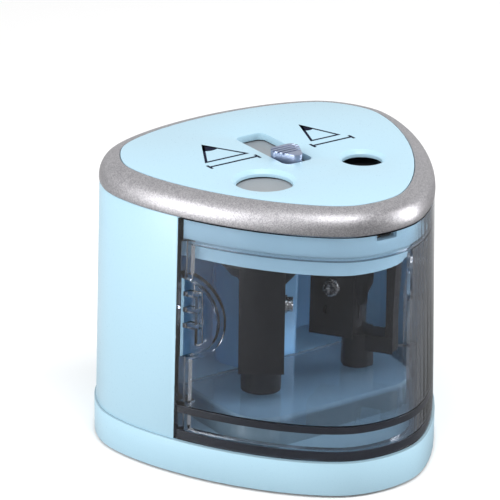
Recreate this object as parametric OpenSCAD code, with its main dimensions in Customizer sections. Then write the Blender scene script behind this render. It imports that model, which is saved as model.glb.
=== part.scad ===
// Two-hole electric pencil sharpener with a wrap-round shavings drawer.
// Plan outline: a rounded triangle, its front corner towards -Y, worked out from one support function,
// so every wall, lip and gap is the same outline moved in or out by a distance.

/* [Body] */
// Height of the top plate above the table
plate_z = 82.1; // [80:0.1:100]
// Mean radius of the top plate's outline
plate_r = 40.8; // [39:0.1:50]
// How strongly the outline is drawn out into its three corners
corner_pull = 4.3; // [3.5:0.1:4.8]
// How far the flats of the outline are pressed in
side_press = 0.6; // [0.2:0.1:0.9]
// How far the base stands outside the plate's outline
base_out = 7.6; // [7:0.1:9]
// How far the walls stand outside the plate's outline at their foot
wall_out_low = 7.1; // [6.5:0.1:7.6]
// How far the walls stand outside the plate's outline under the ring
wall_out_top = 5.8; // [5:0.1:6.4]
// Thickness of the housing walls
wall = 2.2; // [1.6:0.1:2.6]
// Height of the silver ring
ring_h = 6.8; // [5.5:0.1:9]
// Thickness of the top plate
plate_t = 2; // [1.6:0.1:2.4]
// Thickness of the rim that hangs down from the top plate
plate_rim = 1.2; // [1:0.1:1.6]

/* [Base] */
// Height of the base's upper edge above the table
base_h = 10.4; // [8:0.1:14]
// How far the rubber feet stand below the base
foot_h = 0.8; // [0.5:0.1:1.5]
// Radius of a rubber foot
foot_r = 4.5; // [3:0.1:6]
// Height of the raised deck above the table
deck_z = 18; // [16:0.1:22]
// Half the width of the raised deck
deck_half_w = 29.6; // [20:0.1:31]
// Distance of the deck's front edge from the middle
deck_front = 26.1; // [20:0.1:32]
// Radius of the deck's front corners
deck_corner_r = 11; // [4:0.1:15]
// Thickness of the plate that closes the base
bottom_t = 2; // [1.5:0.1:3]

/* [Drawer] */
// Distance in front of the middle of the joint between drawer and rear shell
seam_front = 6.2; // [2:0.1:10]
// Thickness of the drawer's wall
drawer_wall = 2.2; // [1.8:0.1:2.5]
// Thickness of the drawer's floor
drawer_floor_t = 2.2; // [1.5:0.1:3]
// Radius of the finger grips
grip_r = 11.4; // [8:0.1:13]
// Depth of the finger grips
grip_depth = 3; // [2:0.1:4]
// Height of the middle of the finger grips
grip_z = 46.7; // [38:0.1:50]

/* [Pencil holes] */
// Distance of each hole from the middle plane
hole_x = 16.3; // [16:0.1:18]
// Distance of the holes in front of the middle
hole_front = 10.7; // [9:0.1:12]
// Radius of the plate's large hole
hole_r_large = 7.75; // [7:0.05:8]
// Radius of the plate's small hole
hole_r_small = 5.55; // [4.8:0.05:6]
// Radius of the large pencil guide
guide_r_large = 6.4; // [6.1:0.05:6.8]
// Radius of the small pencil guide
guide_r_small = 4.4; // [4.1:0.05:4.8]

/* [Selector] */
// Width of the slot in the top plate
slot_w = 9.5; // [8:0.1:11]
// Distance of the slot's front end in front of the middle
slot_front = 4.4; // [2:0.1:6]
// Travel of the selector
selector_travel = 15.7; // [15.6:0.1:16]
// Width of the knob
knob_w = 8.6; // [6:0.1:9]
// Length of the knob
knob_l = 9.3; // [8:0.1:11]
// How far the knob stands above the plate
knob_up = 1.9; // [1:0.1:3]
// Thickness of the shutter
shutter_t = 1.4; // [1:0.1:1.8]

/* [Gears] */
// Height of the gear housing below the top of the plate
house_h = 19.8; // [18:0.1:22]
// Thickness of the gear housing's floor
house_floor = 2.5; // [2:0.1:3.5]
// Teeth of each cutter gear
cutter_teeth = 30; // [28:2:30]
// Teeth of the small part of the compound gear
idler_teeth = 24; // [22:1:26]
// Tooth module of the cutter gears
cutter_module = 0.8; // [0.75:0.05:0.8]
// Teeth of the large part of the compound gear
wheel_teeth = 46; // [40:1:48]
// Teeth of the motor pinion
pinion_teeth = 8; // [8:1:10]
// Tooth module of the motor pinion
motor_module = 0.5; // [0.4:0.05:0.5]
// Face width of the cutter gears
gear_w = 5; // [3:0.1:5.2]
// Face width of the wheel
wheel_w = 2.6; // [2:0.1:2.8]

/* [Cutters] */
// Radius of the bearing ring on each cutter
journal_r = 11.4; // [10:0.1:11.4]
// Radius of the dust flange under the gear housing
flange_r = 13.4; // [11.8:0.1:13.8]
// Pencil radius that the large cutter takes
pencil_r_large = 6.1; // [5.5:0.1:6.3]
// Pencil radius that the small cutter takes
pencil_r_small = 4.1; // [3.5:0.1:4.3]
// Length of the large cutter's cone
cone_l_large = 25; // [22:0.1:26]
// Length of the small cutter's cone
cone_l_small = 16; // [13:0.1:18]
// Radius of the large cutter's tail
tail_r_large = 5.5; // [4:0.1:6]
// Radius of the small cutter's tail
tail_r_small = 4.85; // [4:0.1:6]
// Turn of the large cutter at rest
turn_large = 55; // [0:1:360]
// Turn of the small cutter at rest
turn_small = 305; // [0:1:360]

/* [Motor and cells] */
// Radius of the motor can
motor_r = 10.2; // [9:0.1:10.4]
// Distance across the motor's flats
motor_flats = 15.4; // [14:0.1:15.6]
// Length of the motor can
motor_l = 25; // [20:0.1:30]
// Radius of the motor column
column_r = 11.6; // [11.4:0.1:12]
// Diameter of one cell
cell_d = 14.5; // [14:0.1:14.8]
// Length of one cell
cell_l = 50.5; // [49:0.1:51]

/* [Clearances] */
// Gap between the drawer and what it slides past
slide_gap = 0.3; // [0.2:0.05:0.5]
// Radial clearance of a shaft or bearing ring in its hole
run_gap = 0.06; // [0.03:0.01:0.1]
// Backlash on each flank of a gear tooth
backlash = 0.07; // [0.04:0.01:0.1]

/* [Hidden] */

// Number of straight pieces that stand for the outline
outline_n = 96;
// The outline's centre, placed so that the whole object is centred on the origin
mid_y = corner_pull;

// Heights
ring_z = plate_z - ring_h;
house_z = plate_z - house_h;
house_top_z = ring_z;
step_z = ring_z - 6.5;
gear_z = house_z + house_floor + 0.2;
wheel_z = gear_z + gear_w + 0.4;
cover_t = 1.6;
cover_z = plate_z - 7.9;
shutter_z = plate_z - plate_t - 0.4 - shutter_t;
drawer_z = base_h + slide_gap;
drawer_top_z = ring_z - slide_gap;
drawer_floor_z = deck_z + slide_gap;
tail_z = drawer_floor_z + drawer_floor_t + 1;
seam_y = -seam_front;
hole_y = -hole_front;
slot_y0 = -slot_front;
slot_y1 = slot_y0 + knob_l + selector_travel + 0.6;
knob_y0 = slot_y0 + 0.3;

// Gear train: the compound gear meets both cutter gears, and the motor stands behind it
cutter_pitch_r = cutter_teeth * cutter_module / 2;
tip_share = 0.95;
gear_room_r = cutter_pitch_r + tip_share * cutter_module + 0.35;
idler_pitch_r = idler_teeth * cutter_module / 2;
idler_y = hole_y + sqrt(pow(cutter_pitch_r + idler_pitch_r, 2) - hole_x * hole_x);
wheel_pitch_r = wheel_teeth * motor_module / 2;
pinion_pitch_r = pinion_teeth * motor_module / 2;
motor_y = idler_y + wheel_pitch_r + pinion_pitch_r;
axle_r = 1.5;
shaft_r = 1;
pressure_angle = 20;

// Motor column and back wall of the shavings space
column_wall = 1.2;
column_front_y = motor_y - motor_flats / 2 - column_wall - 0.1;
back_wall_y = motor_y + motor_flats / 2 + 0.5;
back_wall_t = 1.4;
house_back_y = back_wall_y + back_wall_t;

// Cells stand side by side behind the back wall
cell_pitch = cell_d + 0.7;
box_wall = 1.2;
box_y0 = house_back_y;
box_half_w = 2 * cell_pitch + box_wall;
box_z0 = base_h;
box_z1 = box_z0 + cell_l + 3.6 + 2 * box_wall;
box_out = wall_out_top - wall - 0.3;
door_half_w = box_half_w - box_wall;
door_z0 = box_z0 + box_wall;
door_z1 = box_z1 - box_wall;
door_gap = 0.25;

// Cutter holder
holder_half_t = 6.2;
holder_left = 12.6;
holder_bottom = 31.5;
post_u0 = 8.7;
post_u1 = 11.4;
arm_bottom = 35.6;
arm_top = 30.8;
cone_tip_r = 0.9;
blade_t = 0.9;
blade_inset = 1.1;
screw_u = 6.1;
screw_drop_large = 13.4;
screw_drop_small = 16.9;
screw_r = 1.45;
washer_r = 2.5;
washer_t = 0.5;
hub_r_large = pencil_r_large + 1.6;
hub_r_small = pencil_r_small + 2;

// Support function of the outline and its slope, for the direction t
function support(t, d) = plate_r + d + corner_pull * cos(3 * (t + 90)) - side_press * cos(6 * (t + 90));
function slope(t) = -3 * corner_pull * sin(3 * (t + 90)) + 6 * side_press * sin(6 * (t + 90));
function edge(t, d) = [
    support(t, d) * cos(t) - slope(t) * sin(t),
    mid_y + support(t, d) * sin(t) + slope(t) * cos(t)];
function ring_points(d) = [for (i = [0 : outline_n - 1]) edge(360 * i / outline_n, d)];

module slab(d, z0, z1) {
    translate([0, 0, z0]) linear_extrude(z1 - z0) polygon(ring_points(d));
}

// Points of the outline at each [distance, height] of a profile
function swept_points(profile) = [for (q = profile) for (p = ring_points(q[0])) [p[0], p[1], q[1]]];
// Faces between two rows of such points
function swept_sides(k0, k1) = [for (i = [0 : outline_n - 1]) let (j = (i + 1) % outline_n)
    [k0 * outline_n + i, k1 * outline_n + i, k1 * outline_n + j, k0 * outline_n + j]];

// A solid that follows the outline and leans from d0 at z0 to d1 at z1
module leaning(d0, z0, d1, z1) {
    polyhedron(swept_points([[d0, z0], [d1, z1]]),
        concat([[for (i = [0 : outline_n - 1]) i]],
            [[for (i = [0 : outline_n - 1]) 2 * outline_n - 1 - i]], swept_sides(0, 1)), 4);
}

// A closed profile carried round the outline
module swept_ring(profile) {
    n = len(profile);
    polyhedron(swept_points(profile), [for (k = [0 : n - 1]) each swept_sides(k, (k + 1) % n)], 4);
}

// How far the leaning walls stand out at the height z
function lean(z) = wall_out_low + (wall_out_top - wall_out_low) * (z - base_h) / (ring_z - base_h);

module leaning_wall(inset, z0, z1) {
    leaning(lean(z0) - inset, z0, lean(z1) - inset, z1);
}

// A box from one corner to the other
module block(a, b) {
    translate(a) cube(b - a);
}

// A bar with its front corners rounded
module deck_shape(half_w, front, r) {
    translate([-half_w, -front + r]) square([2 * half_w, front - r + back_wall_y]);
    translate([-half_w + r, -front]) square([2 * (half_w - r), 2 * r]);
    for (s = [-1, 1]) translate([s * (half_w - r), -front + r]) circle(r, $fn = 64);
}

module at_holes() {
    for (s = [-1, 1]) translate([s * hole_x, hole_y, 0]) children();
}

// Involute gear tooth outline, one tooth centred on the X axis
function inv(a) = tan(a) * 180 / PI - a;
function flank_angle(m, n, r) = let (rb = m * n / 2 * cos(pressure_angle))
    90 / n + inv(pressure_angle) - inv(acos(min(1, rb / max(r, rb)))) - backlash / r * 180 / PI;
module gear_shape(m, n) {
    rp = m * n / 2;
    root = rp - 1.2 * m;
    tip = rp + tip_share * m;
    radii = [root, max(root + 0.05, rp * cos(pressure_angle)), rp - 0.3 * m, rp, rp + 0.5 * m, tip];
    polygon([for (i = [0 : n - 1]) for (k = [0 : 11])
        let (j = k < 6 ? k : 11 - k, side = k < 6 ? -1 : 1,
            a = 360 * i / n + side * flank_angle(m, n, radii[j]))
        [radii[j] * cos(a), radii[j] * sin(a)]]);
}

// Rest turns that put every pair of gears in mesh
idler_dir = atan2(idler_y - hole_y, hole_x);
gear_turn_large = idler_dir;
idler_turn = idler_dir + 180 + 180 / idler_teeth;
small_dir = -idler_dir;
gear_turn_small = small_dir + 180 + 180 / cutter_teeth
    - (idler_turn - small_dir) * idler_teeth / cutter_teeth;

// ---- Base ----

screw_spots = [[-33, 14], [33, 14], [-15, -32], [15, -32]];
foot_spots = [[-27, 33], [27, 33], [-27, -18], [27, -18]];
screw_head_r = 2.8;
screw_shank_r = 1.4;
boss_r = 3.2;

module base() {
    color("lightskyblue") {
        difference() {
            slab(base_out, foot_h, base_h);
            slab(base_out - wall, foot_h - 1, base_h - wall);
        }
        difference() {
            translate([0, 0, base_h]) linear_extrude(deck_z - base_h)
                deck_shape(deck_half_w, deck_front, deck_corner_r);
            translate([0, 0, base_h - 1]) linear_extrude(deck_z - base_h + 1 - wall)
                deck_shape(deck_half_w - wall, deck_front - wall, deck_corner_r - wall);
        }
        for (p = screw_spots) translate([p[0], p[1], foot_h + bottom_t]) difference() {
            cylinder(h = base_h - wall - foot_h - bottom_t, r = boss_r, $fn = 32);
            translate([0, 0, -1]) cylinder(h = 5, r = screw_shank_r + run_gap, $fn = 32);
        }
    }
}

module bottom_plate() {
    color("lightskyblue") difference() {
        slab(base_out - wall - 0.15, foot_h, foot_h + bottom_t);
        for (p = screw_spots) translate([p[0], p[1], foot_h]) {
            translate([0, 0, -1]) cylinder(h = bottom_t + 2, r = screw_shank_r + 0.2, $fn = 32);
            translate([0, 0, -1]) cylinder(h = 2.2, r = screw_head_r + 0.2, $fn = 48);
        }
        for (p = foot_spots) translate([p[0], p[1], foot_h - 1])
            cylinder(h = 1.8, r = foot_r + 0.1, $fn = 64);
    }
}

module rubber_feet() {
    color("dimgray") for (p = foot_spots) translate([p[0], p[1], 0]) {
        cylinder(h = 0.4, r1 = foot_r - 0.4, r2 = foot_r, $fn = 64);
        translate([0, 0, 0.4]) cylinder(h = foot_h + 0.4, r = foot_r, $fn = 64);
    }
}

module bottom_screws() {
    color("silver") for (p = screw_spots) translate([p[0], p[1], foot_h]) difference() {
        union() {
            translate([0, 0, -0.4]) cylinder(h = 1.6, r = screw_head_r, $fn = 48);
            cylinder(h = bottom_t + 3.4, r = screw_shank_r, $fn = 32);
        }
        for (a = [0, 90]) rotate([0, 0, a]) translate([-1.6, -0.3, -1]) cube([3.2, 0.6, 1.4]);
    }
}

// ---- Housing ----

module rear_shell() {
    color("lightskyblue") difference() {
        intersection() {
            leaning_wall(0, base_h, ring_z);
            block([-80, seam_y, 0], [80, 80, plate_z]);
        }
        leaning_wall(wall, base_h - 0.01, ring_z + 0.01);
        block([-door_half_w - door_gap, 25, door_z0 - door_gap],
            [door_half_w + door_gap, 80, door_z1 + door_gap]);
    }
}

// Back wall of the shavings space and the hollow column in which the motor hangs
column_top_wall = 2;
module inner_frame() {
    color("lightsteelblue") {
        intersection() {
            leaning_wall(wall + 0.05, base_h, house_z);
            block([-80, back_wall_y, base_h], [80, back_wall_y + back_wall_t, house_z]);
        }
        difference() {
            intersection() {
                translate([0, motor_y, deck_z]) cylinder(h = house_z - deck_z, r = column_r, $fn = 96);
                block([-column_r, column_front_y, deck_z],
                    [column_r, back_wall_y + back_wall_t / 2, house_z]);
            }
            intersection() {
                translate([0, motor_y, deck_z + column_top_wall])
                    cylinder(h = house_z, r = column_r - column_wall, $fn = 96);
                block([-column_r, column_front_y + column_wall, deck_z + column_top_wall],
                    [column_r, back_wall_y, house_z + 1]);
            }
        }
    }
}

module gear_housing() {
    rim_out = wall_out_top - drawer_wall - 0.4;
    color("lightskyblue") difference() {
        union() {
            difference() {
                intersection() {
                    union() {
                        slab(0, house_z, house_top_z);
                        slab(rim_out, step_z, house_top_z);
                    }
                    block([-80, -80, house_z], [80, house_back_y - 0.1, house_top_z]);
                }
                slab(-1.8, house_z + house_floor, house_top_z + 1);
                at_holes() translate([0, 0, house_z + house_floor])
                    cylinder(h = gear_w + 2, r = gear_room_r, $fn = 96);
                slab(rim_out - 1.8, step_z + 1.6, house_top_z + 1);
            }
            for (p = board_pegs) translate([board_x + p[0], board_y + p[1], house_z + 1])
                cylinder(h = board_z - house_z - 1, r = 1.5, $fn = 32);
        }
        at_holes() translate([0, 0, house_z - 1])
            cylinder(h = house_floor + 2, r = journal_r + run_gap, $fn = 96);
        translate([0, motor_y, house_z - 1]) cylinder(h = house_floor + 2, r = 3.2, $fn = 48);
        for (s = [-1, 1]) translate([s * 7, motor_y, house_z - 1])
            cylinder(h = house_floor + 2, r = 1.15, $fn = 32);
        translate([0, idler_y, house_z + 0.8]) cylinder(h = house_floor, r = axle_r, $fn = 48);
        for (p = house_screw_spots) translate([p[0], p[1], house_z - 1])
            cylinder(h = house_floor + 2, r = screw_shank_r + run_gap, $fn = 32);
        block([-3.1, -60, house_top_z - 2.6], [3.1, -30, house_top_z - 0.8]);
    }
}

house_screw_spots = [[-26, back_wall_y - 4.2], [26, back_wall_y - 4.2]];

module housing_screws() {
    color("silver") for (p = house_screw_spots) translate([p[0], p[1], house_z]) difference() {
        union() {
            translate([0, 0, house_floor]) cylinder(h = 1.6, r = 2.4, $fn = 48);
            translate([0, 0, -3]) cylinder(h = house_floor + 3.2, r = screw_shank_r, $fn = 32);
        }
        for (a = [0, 90]) rotate([0, 0, a]) translate([-1.4, -0.3, house_floor + 0.8]) cube([2.8, 0.6, 1.4]);
    }
}

cover_spots = [[-24, 12], [24, 12]];

module gear_cover() {
    color("gainsboro") difference() {
        union() {
            intersection() {
                slab(-2.1, cover_z, cover_z + cover_t);
                block([-80, -80, cover_z], [80, house_back_y - 0.2, cover_z + cover_t]);
            }
            translate([0, idler_y, wheel_z + wheel_w + 0.3])
                cylinder(h = cover_z - wheel_z - wheel_w - 0.3 + 0.1, r = 3, $fn = 48);
            for (p = cover_spots) translate([p[0], p[1], house_z + house_floor])
                cylinder(h = cover_z - house_z - house_floor + 0.1, r = 2.6, $fn = 48);
        }
        translate([-hole_x, hole_y, cover_z - 1])
            cylinder(h = cover_t + 2, r = guide_r_large + guide_wall + 0.05, $fn = 96);
        translate([hole_x, hole_y, cover_z - 1])
            cylinder(h = cover_t + 2, r = guide_r_small + guide_wall + 0.05, $fn = 96);
        translate([0, idler_y, wheel_z]) cylinder(h = 20, r = axle_r, $fn = 48);
        translate([0, motor_y, cover_z - 1]) cylinder(h = cover_t + 2, r = 3, $fn = 48);
        for (p = cover_spots) translate([p[0], p[1], house_z])
            cylinder(h = 20, r = screw_shank_r + run_gap, $fn = 32);
    }
}

module cover_screws() {
    color("silver") for (p = cover_spots) translate([p[0], p[1], cover_z + cover_t]) difference() {
        union() {
            cylinder(h = 1.2, r = 2.3, $fn = 48);
            translate([0, 0, -7]) cylinder(h = 7.2, r = screw_shank_r, $fn = 32);
        }
        for (a = [0, 90]) rotate([0, 0, a]) translate([-1.3, -0.25, 0.6]) cube([2.6, 0.5, 1]);
    }
}

// A sleeve that leads the pencil from the shutter to the cutter
guide_wall = 1.8;
guide_collar = 2.6;
module guide_bush(x, r) {
    color([0.1, 0.1, 0.11]) translate([x, hole_y, 0]) difference() {
        union() {
            translate([0, 0, gear_z + gear_w + 0.6])
                cylinder(h = cover_z + cover_t - gear_z - gear_w - 0.5, r = r + guide_wall, $fn = 96);
            translate([0, 0, cover_z + cover_t])
                cylinder(h = shutter_z - cover_z - cover_t - 0.3, r = r + guide_collar, $fn = 96);
        }
        translate([0, 0, house_z]) cylinder(h = 40, r = r, $fn = 96);
        translate([0, 0, switch_z]) rotate([0, x < 0 ? 90 : -90, 0])
            cylinder(h = 20, r = plunger_r + run_gap, $fn = 32);
    }
}
module guide_bush_large() guide_bush(-hole_x, guide_r_large);
module guide_bush_small() guide_bush(hole_x, guide_r_small);

// Silver ring with a quarter-round outside over a low straight lip
bezel_gap = 0.15;
bezel_lip = 0.6;
bezel_steps = 10;
module bezel_ring() {
    rise = ring_h - bezel_lip;
    round_side = [for (i = [0 : bezel_steps]) let (a = 90 * i / bezel_steps)
        [bezel_gap + wall_out_top * cos(a), ring_z + bezel_lip + rise * sin(a)]];
    section = concat([[bezel_gap + wall_out_top, ring_z]], round_side, [[bezel_gap, ring_z]]);
    color("silver") swept_ring(section);
}

module top_plate() {
    color("lightskyblue") difference() {
        union() {
            slab(0, plate_z - plate_t, plate_z);
            difference() {
                slab(0, ring_z, plate_z);
                slab(-plate_rim, ring_z - 1, plate_z);
            }
        }
        translate([-hole_x, hole_y, plate_z - plate_t - 1])
            cylinder(h = plate_t + 2, r = hole_r_large, $fn = 96);
        translate([hole_x, hole_y, plate_z - plate_t - 1])
            cylinder(h = plate_t + 2, r = hole_r_small, $fn = 96);
        translate([0, 0, plate_z - plate_t - 1]) linear_extrude(plate_t + 2) {
            translate([-slot_w / 2, slot_y0 + slot_w / 2 - 2.5])
                square([slot_w, slot_y1 - slot_y0 - slot_w + 5]);
            translate([-slot_w / 2 + 2.2, slot_y0]) square([slot_w - 4.4, slot_y1 - slot_y0]);
            for (s = [-1, 1]) for (y = [slot_y0 + 2.25, slot_y1 - 2.25])
                translate([s * (slot_w / 2 - 2.25), y]) circle(2.25, $fn = 32);
        }
    }
}

// ---- Selector ----

// Flat slide that covers one hole and frees the other, trimmed to pass inside the top plate's rim
shutter_half_w = 6.2;
module selector_shutter() {
    lobe_l = hole_r_large + 0.1;
    lobe_s = hole_r_small + 0.3;
    front = hole_y - selector_travel;
    color("gray") translate([0, 0, shutter_z]) linear_extrude(shutter_t) intersection() {
        polygon(ring_points(-plate_rim - 0.2));
        union() {
            translate([-shutter_half_w, front - 4]) square([2 * shutter_half_w, slot_y1 + 0.8 - front + 4]);
            translate([-hole_x, hole_y]) circle(lobe_l, $fn = 96);
            translate([-hole_x, hole_y - 4.5]) square([hole_x, 9]);
            translate([hole_x, front]) circle(lobe_s, $fn = 96);
            translate([0, front - 4]) square([hole_x, 8]);
        }
    }
}

// Pick-shaped thumb knob, its point to the front
module selector_knob() {
    r = 2.2;
    top = plate_z + knob_up;
    foot = shutter_z + shutter_t;
    color("silver") difference() {
        translate([0, knob_y0, foot]) hull() {
            for (s = [-1, 1]) translate([s * (knob_w / 2 - r), knob_l - r, 0])
                cylinder(h = top - foot, r = r, $fn = 32);
            translate([0, 1.6, 0]) cylinder(h = top - foot, r = 1.6, $fn = 32);
        }
        for (i = [0 : 3]) translate([-10, knob_y0 + 3.4 + 1.4 * i, top - 0.5]) cube([20, 0.6, 1]);
    }
}

// ---- Drawer ----

// Things placed on the wall's outside, with -X pointing outwards
grip_dir = 204;
module on_wall(s) {
    p = edge(grip_dir, lean(grip_z));
    mirror([s > 0 ? 1 : 0, 0, 0]) translate([p[0], p[1], grip_z]) rotate([0, 0, grip_dir - 180]) children();
}

tongue_half_w = 35;
edge_flange_in = 4.2;
edge_flange_t = 1.4;
// Stiffening rims of the drawer's foot and step, and the ridges in its finger grips
drawer_foot_h = 2.5;
drawer_foot_in = 2.6;
step_rim_t = 1.2;
step_rim_in = 1.8;
grip_wall = 1.2;
ridge_in = 0.6;
ridge_w = 1.3;
ridge_pitch = 4.6;
ridge_up = 1.5;
ridge_front = -5.6;
module drawer() {
    inner_d = lean(drawer_floor_z) - 0.5;
    back = seam_y - slide_gap / 2;
    flange_top = step_z - slide_gap;
    color([0.45, 0.52, 0.62, 0.55]) {
        difference() {
            union() {
                difference() {
                    leaning_wall(0, drawer_z, drawer_top_z);
                    leaning_wall(drawer_wall, drawer_z - 0.01, drawer_top_z + 0.01);
                }
                slab(inner_d, drawer_floor_z, drawer_floor_z + drawer_floor_t);
                difference() {
                    slab(inner_d, drawer_z, drawer_z + drawer_foot_h);
                    slab(drawer_foot_in, drawer_z - 1, drawer_z + drawer_foot_h + 1);
                }
                difference() {
                    slab(lean(step_z) - 0.5, step_z - step_rim_t, step_z - slide_gap);
                    slab(step_rim_in, step_z - step_rim_t - 1, step_z + 1);
                }
                intersection() {
                    leaning_wall(0, drawer_z, drawer_top_z);
                    union() for (s = [-1, 1]) on_wall(s) translate([-4, 0, 0]) rotate([0, 90, 0])
                        cylinder(h = grip_depth + grip_wall + 4, r = grip_r + grip_wall, $fn = 96);
                }
                difference() {
                    intersection() {
                        leaning_wall(0, drawer_z, flange_top);
                        block([-80, back - edge_flange_t, drawer_z], [80, back + 1, flange_top]);
                    }
                    leaning_wall(edge_flange_in, drawer_z - 0.01, flange_top + 0.01);
                }
            }
            block([-80, back, 0], [80, 80, plate_z]);
            intersection() {
                union() for (s = [-1, 1]) on_wall(s) translate([-10, 0, 0]) rotate([0, 90, 0])
                    cylinder(h = grip_depth + 10, r = grip_r, $fn = 96);
                block([-80, -80, 0], [80, back - edge_flange_t, plate_z]);
            }
        }
        intersection() {
            block([-80, -80, 0], [80, back, plate_z]);
            leaning_wall(ridge_in, drawer_z, drawer_top_z);
            union() for (s = [-1, 1]) on_wall(s) {
                for (k = [-1 : 1]) translate([ridge_in, ridge_front, k * ridge_pitch + ridge_up])
                    cube([grip_depth - 0.5, 20, ridge_w]);
                translate([ridge_in, ridge_front, -7.5]) cube([grip_depth - 0.5, 1.2, 15]);
            }
        }
        intersection() {
            slab(lean(deck_z) - 0.5, drawer_floor_z, drawer_floor_z + drawer_floor_t);
            block([-tongue_half_w, back - 1, 0], [tongue_half_w, column_front_y - 2.4, plate_z]);
        }
    }
}

// ---- Motor ----

module motor_shape(r, flats) {
    intersection() {
        circle(r, $fn = 96);
        square([3 * r, flats], center = true);
    }
}

module motor_can() {
    color("silver") translate([0, motor_y, 0]) difference() {
        union() {
            translate([0, 0, house_z - motor_l]) linear_extrude(motor_l - 0.05)
                motor_shape(motor_r, motor_flats);
            translate([0, 0, house_z - 0.1]) cylinder(h = 1.6, r = 3, $fn = 48);
        }
        translate([0, 0, house_z - motor_l - 1]) linear_extrude(motor_l + 0.2)
            motor_shape(motor_r - 0.8, motor_flats - 1.6);
        translate([0, 0, house_z - 4]) cylinder(h = 10, r = 1.9, $fn = 48);
        for (s = [-1, 1]) translate([s * 7, 0, house_z - 2]) cylinder(h = 4, r = 1, $fn = 32);
    }
}

module motor_end_cap() {
    color("white") translate([0, motor_y, house_z - motor_l]) difference() {
        union() {
            translate([0, 0, -2.4]) linear_extrude(2.4) motor_shape(motor_r, motor_flats);
            translate([0, 0, -0.1]) linear_extrude(1.6) motor_shape(motor_r - 0.85, motor_flats - 1.7);
            translate([0, 0, -4]) cylinder(h = 2, r = 3, $fn = 48);
        }
        translate([0, 0, -3]) cylinder(h = 6, r = shaft_r + run_gap, $fn = 48);
        for (s = [-1, 1]) block([s * 6.5 - 0.25, -1.5, -5], [s * 6.5 + 0.25, 1.5, 3]);
    }
}

module motor_bearing() {
    color("peru") translate([0, motor_y, house_z - 1]) difference() {
        cylinder(h = 2.6, r = 1.9, $fn = 48);
        translate([0, 0, -1]) cylinder(h = 5, r = shaft_r + run_gap, $fn = 48);
    }
}

module motor_terminals() {
    color("gold") for (s = [-1, 1]) translate([0, motor_y, house_z - motor_l])
        block([s * 6.5 - 0.2, -1.4, -6], [s * 6.5 + 0.2, 1.4, 1.3]);
}

module motor_screws() {
    color("silver") for (s = [-1, 1]) translate([s * 7, motor_y, house_z]) {
        translate([0, 0, house_floor]) cylinder(h = 1.1, r = 1.8, $fn = 48);
        translate([0, 0, -0.75]) cylinder(h = house_floor + 0.9, r = 0.95, $fn = 32);
    }
}

module motor_shaft() {
    color("silver") translate([0, motor_y, 0]) {
        translate([0, 0, house_z - motor_l - 2.8])
            cylinder(h = cover_z - house_z + motor_l + 3.4, r = shaft_r, $fn = 48);
        translate([0, 0, house_z - motor_l + 5]) cylinder(h = motor_l - 10, r = 6.4, $fn = 64);
        translate([0, 0, house_z - motor_l + 2]) cylinder(h = 3.1, r = 2.4, $fn = 48);
    }
}

module motor_pinion() {
    color("gold") translate([0, motor_y, wheel_z - 0.2]) difference() {
        linear_extrude(wheel_w + 0.6) rotate(270 + 180 / pinion_teeth)
            gear_shape(motor_module, pinion_teeth);
        translate([0, 0, -1]) cylinder(h = wheel_w + 3, r = shaft_r, $fn = 48);
    }
}

// ---- Gear train and cutters ----

module compound_gear() {
    color("white") translate([0, idler_y, 0]) difference() {
        union() {
            translate([0, 0, gear_z]) linear_extrude(gear_w) rotate(idler_turn)
                gear_shape(cutter_module, idler_teeth);
            translate([0, 0, gear_z + gear_w - 0.1]) cylinder(h = 0.6, r = 5, $fn = 64);
            translate([0, 0, wheel_z]) linear_extrude(wheel_w) rotate(90)
                gear_shape(motor_module, wheel_teeth);
        }
        translate([0, 0, gear_z - 1]) cylinder(h = 20, r = axle_r + run_gap, $fn = 48);
        for (i = [0 : 5]) rotate([0, 0, 60 * i]) translate([8.3, 0, wheel_z - 1])
            cylinder(h = 5, r = 1.6, $fn = 32);
    }
}

module compound_axle() {
    color("silver") translate([0, idler_y, house_z + 0.8])
        cylinder(h = cover_z + cover_t - house_z - 0.8, r = axle_r, $fn = 48);
}

module cutter_gear(x, hub_r, turn) {
    color("white") translate([x, hole_y, gear_z]) difference() {
        linear_extrude(gear_w) rotate(turn) gear_shape(cutter_module, cutter_teeth);
        translate([0, 0, -1]) cylinder(h = gear_w + 2, r = hub_r + 0.02, $fn = 96);
    }
}
module cutter_gear_large() cutter_gear(-hole_x, hub_r_large, gear_turn_large);
module cutter_gear_small() cutter_gear(hole_x, hub_r_small, gear_turn_small);

// Height of the cone's tip, and the height where the pencil's full width begins
function cone_top(large) = house_z - (large ? 1.3 : 6.3);
function cone_len(large) = large ? cone_l_large : cone_l_small;
function cone_low(large) = cone_top(large) - cone_len(large);
function pencil_r(large) = large ? pencil_r_large : pencil_r_small;
function cone_angle(large) = atan((pencil_r(large) - cone_tip_r) / cone_len(large));
function blade_l(large) = cone_len(large) * 0.9;
function screw_drop(large) = large ? screw_drop_large : screw_drop_small;

// Moves children onto the plane that touches the cone at the back of the holder
module on_cone(large) {
    translate([0, cone_tip_r, cone_low(large)]) rotate([-cone_angle(large), 0, 0]) children();
}

module at_cutter(large) {
    translate([large ? -hole_x : hole_x, hole_y, 0])
        rotate([0, 0, large ? turn_large : turn_small]) children();
}

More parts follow.
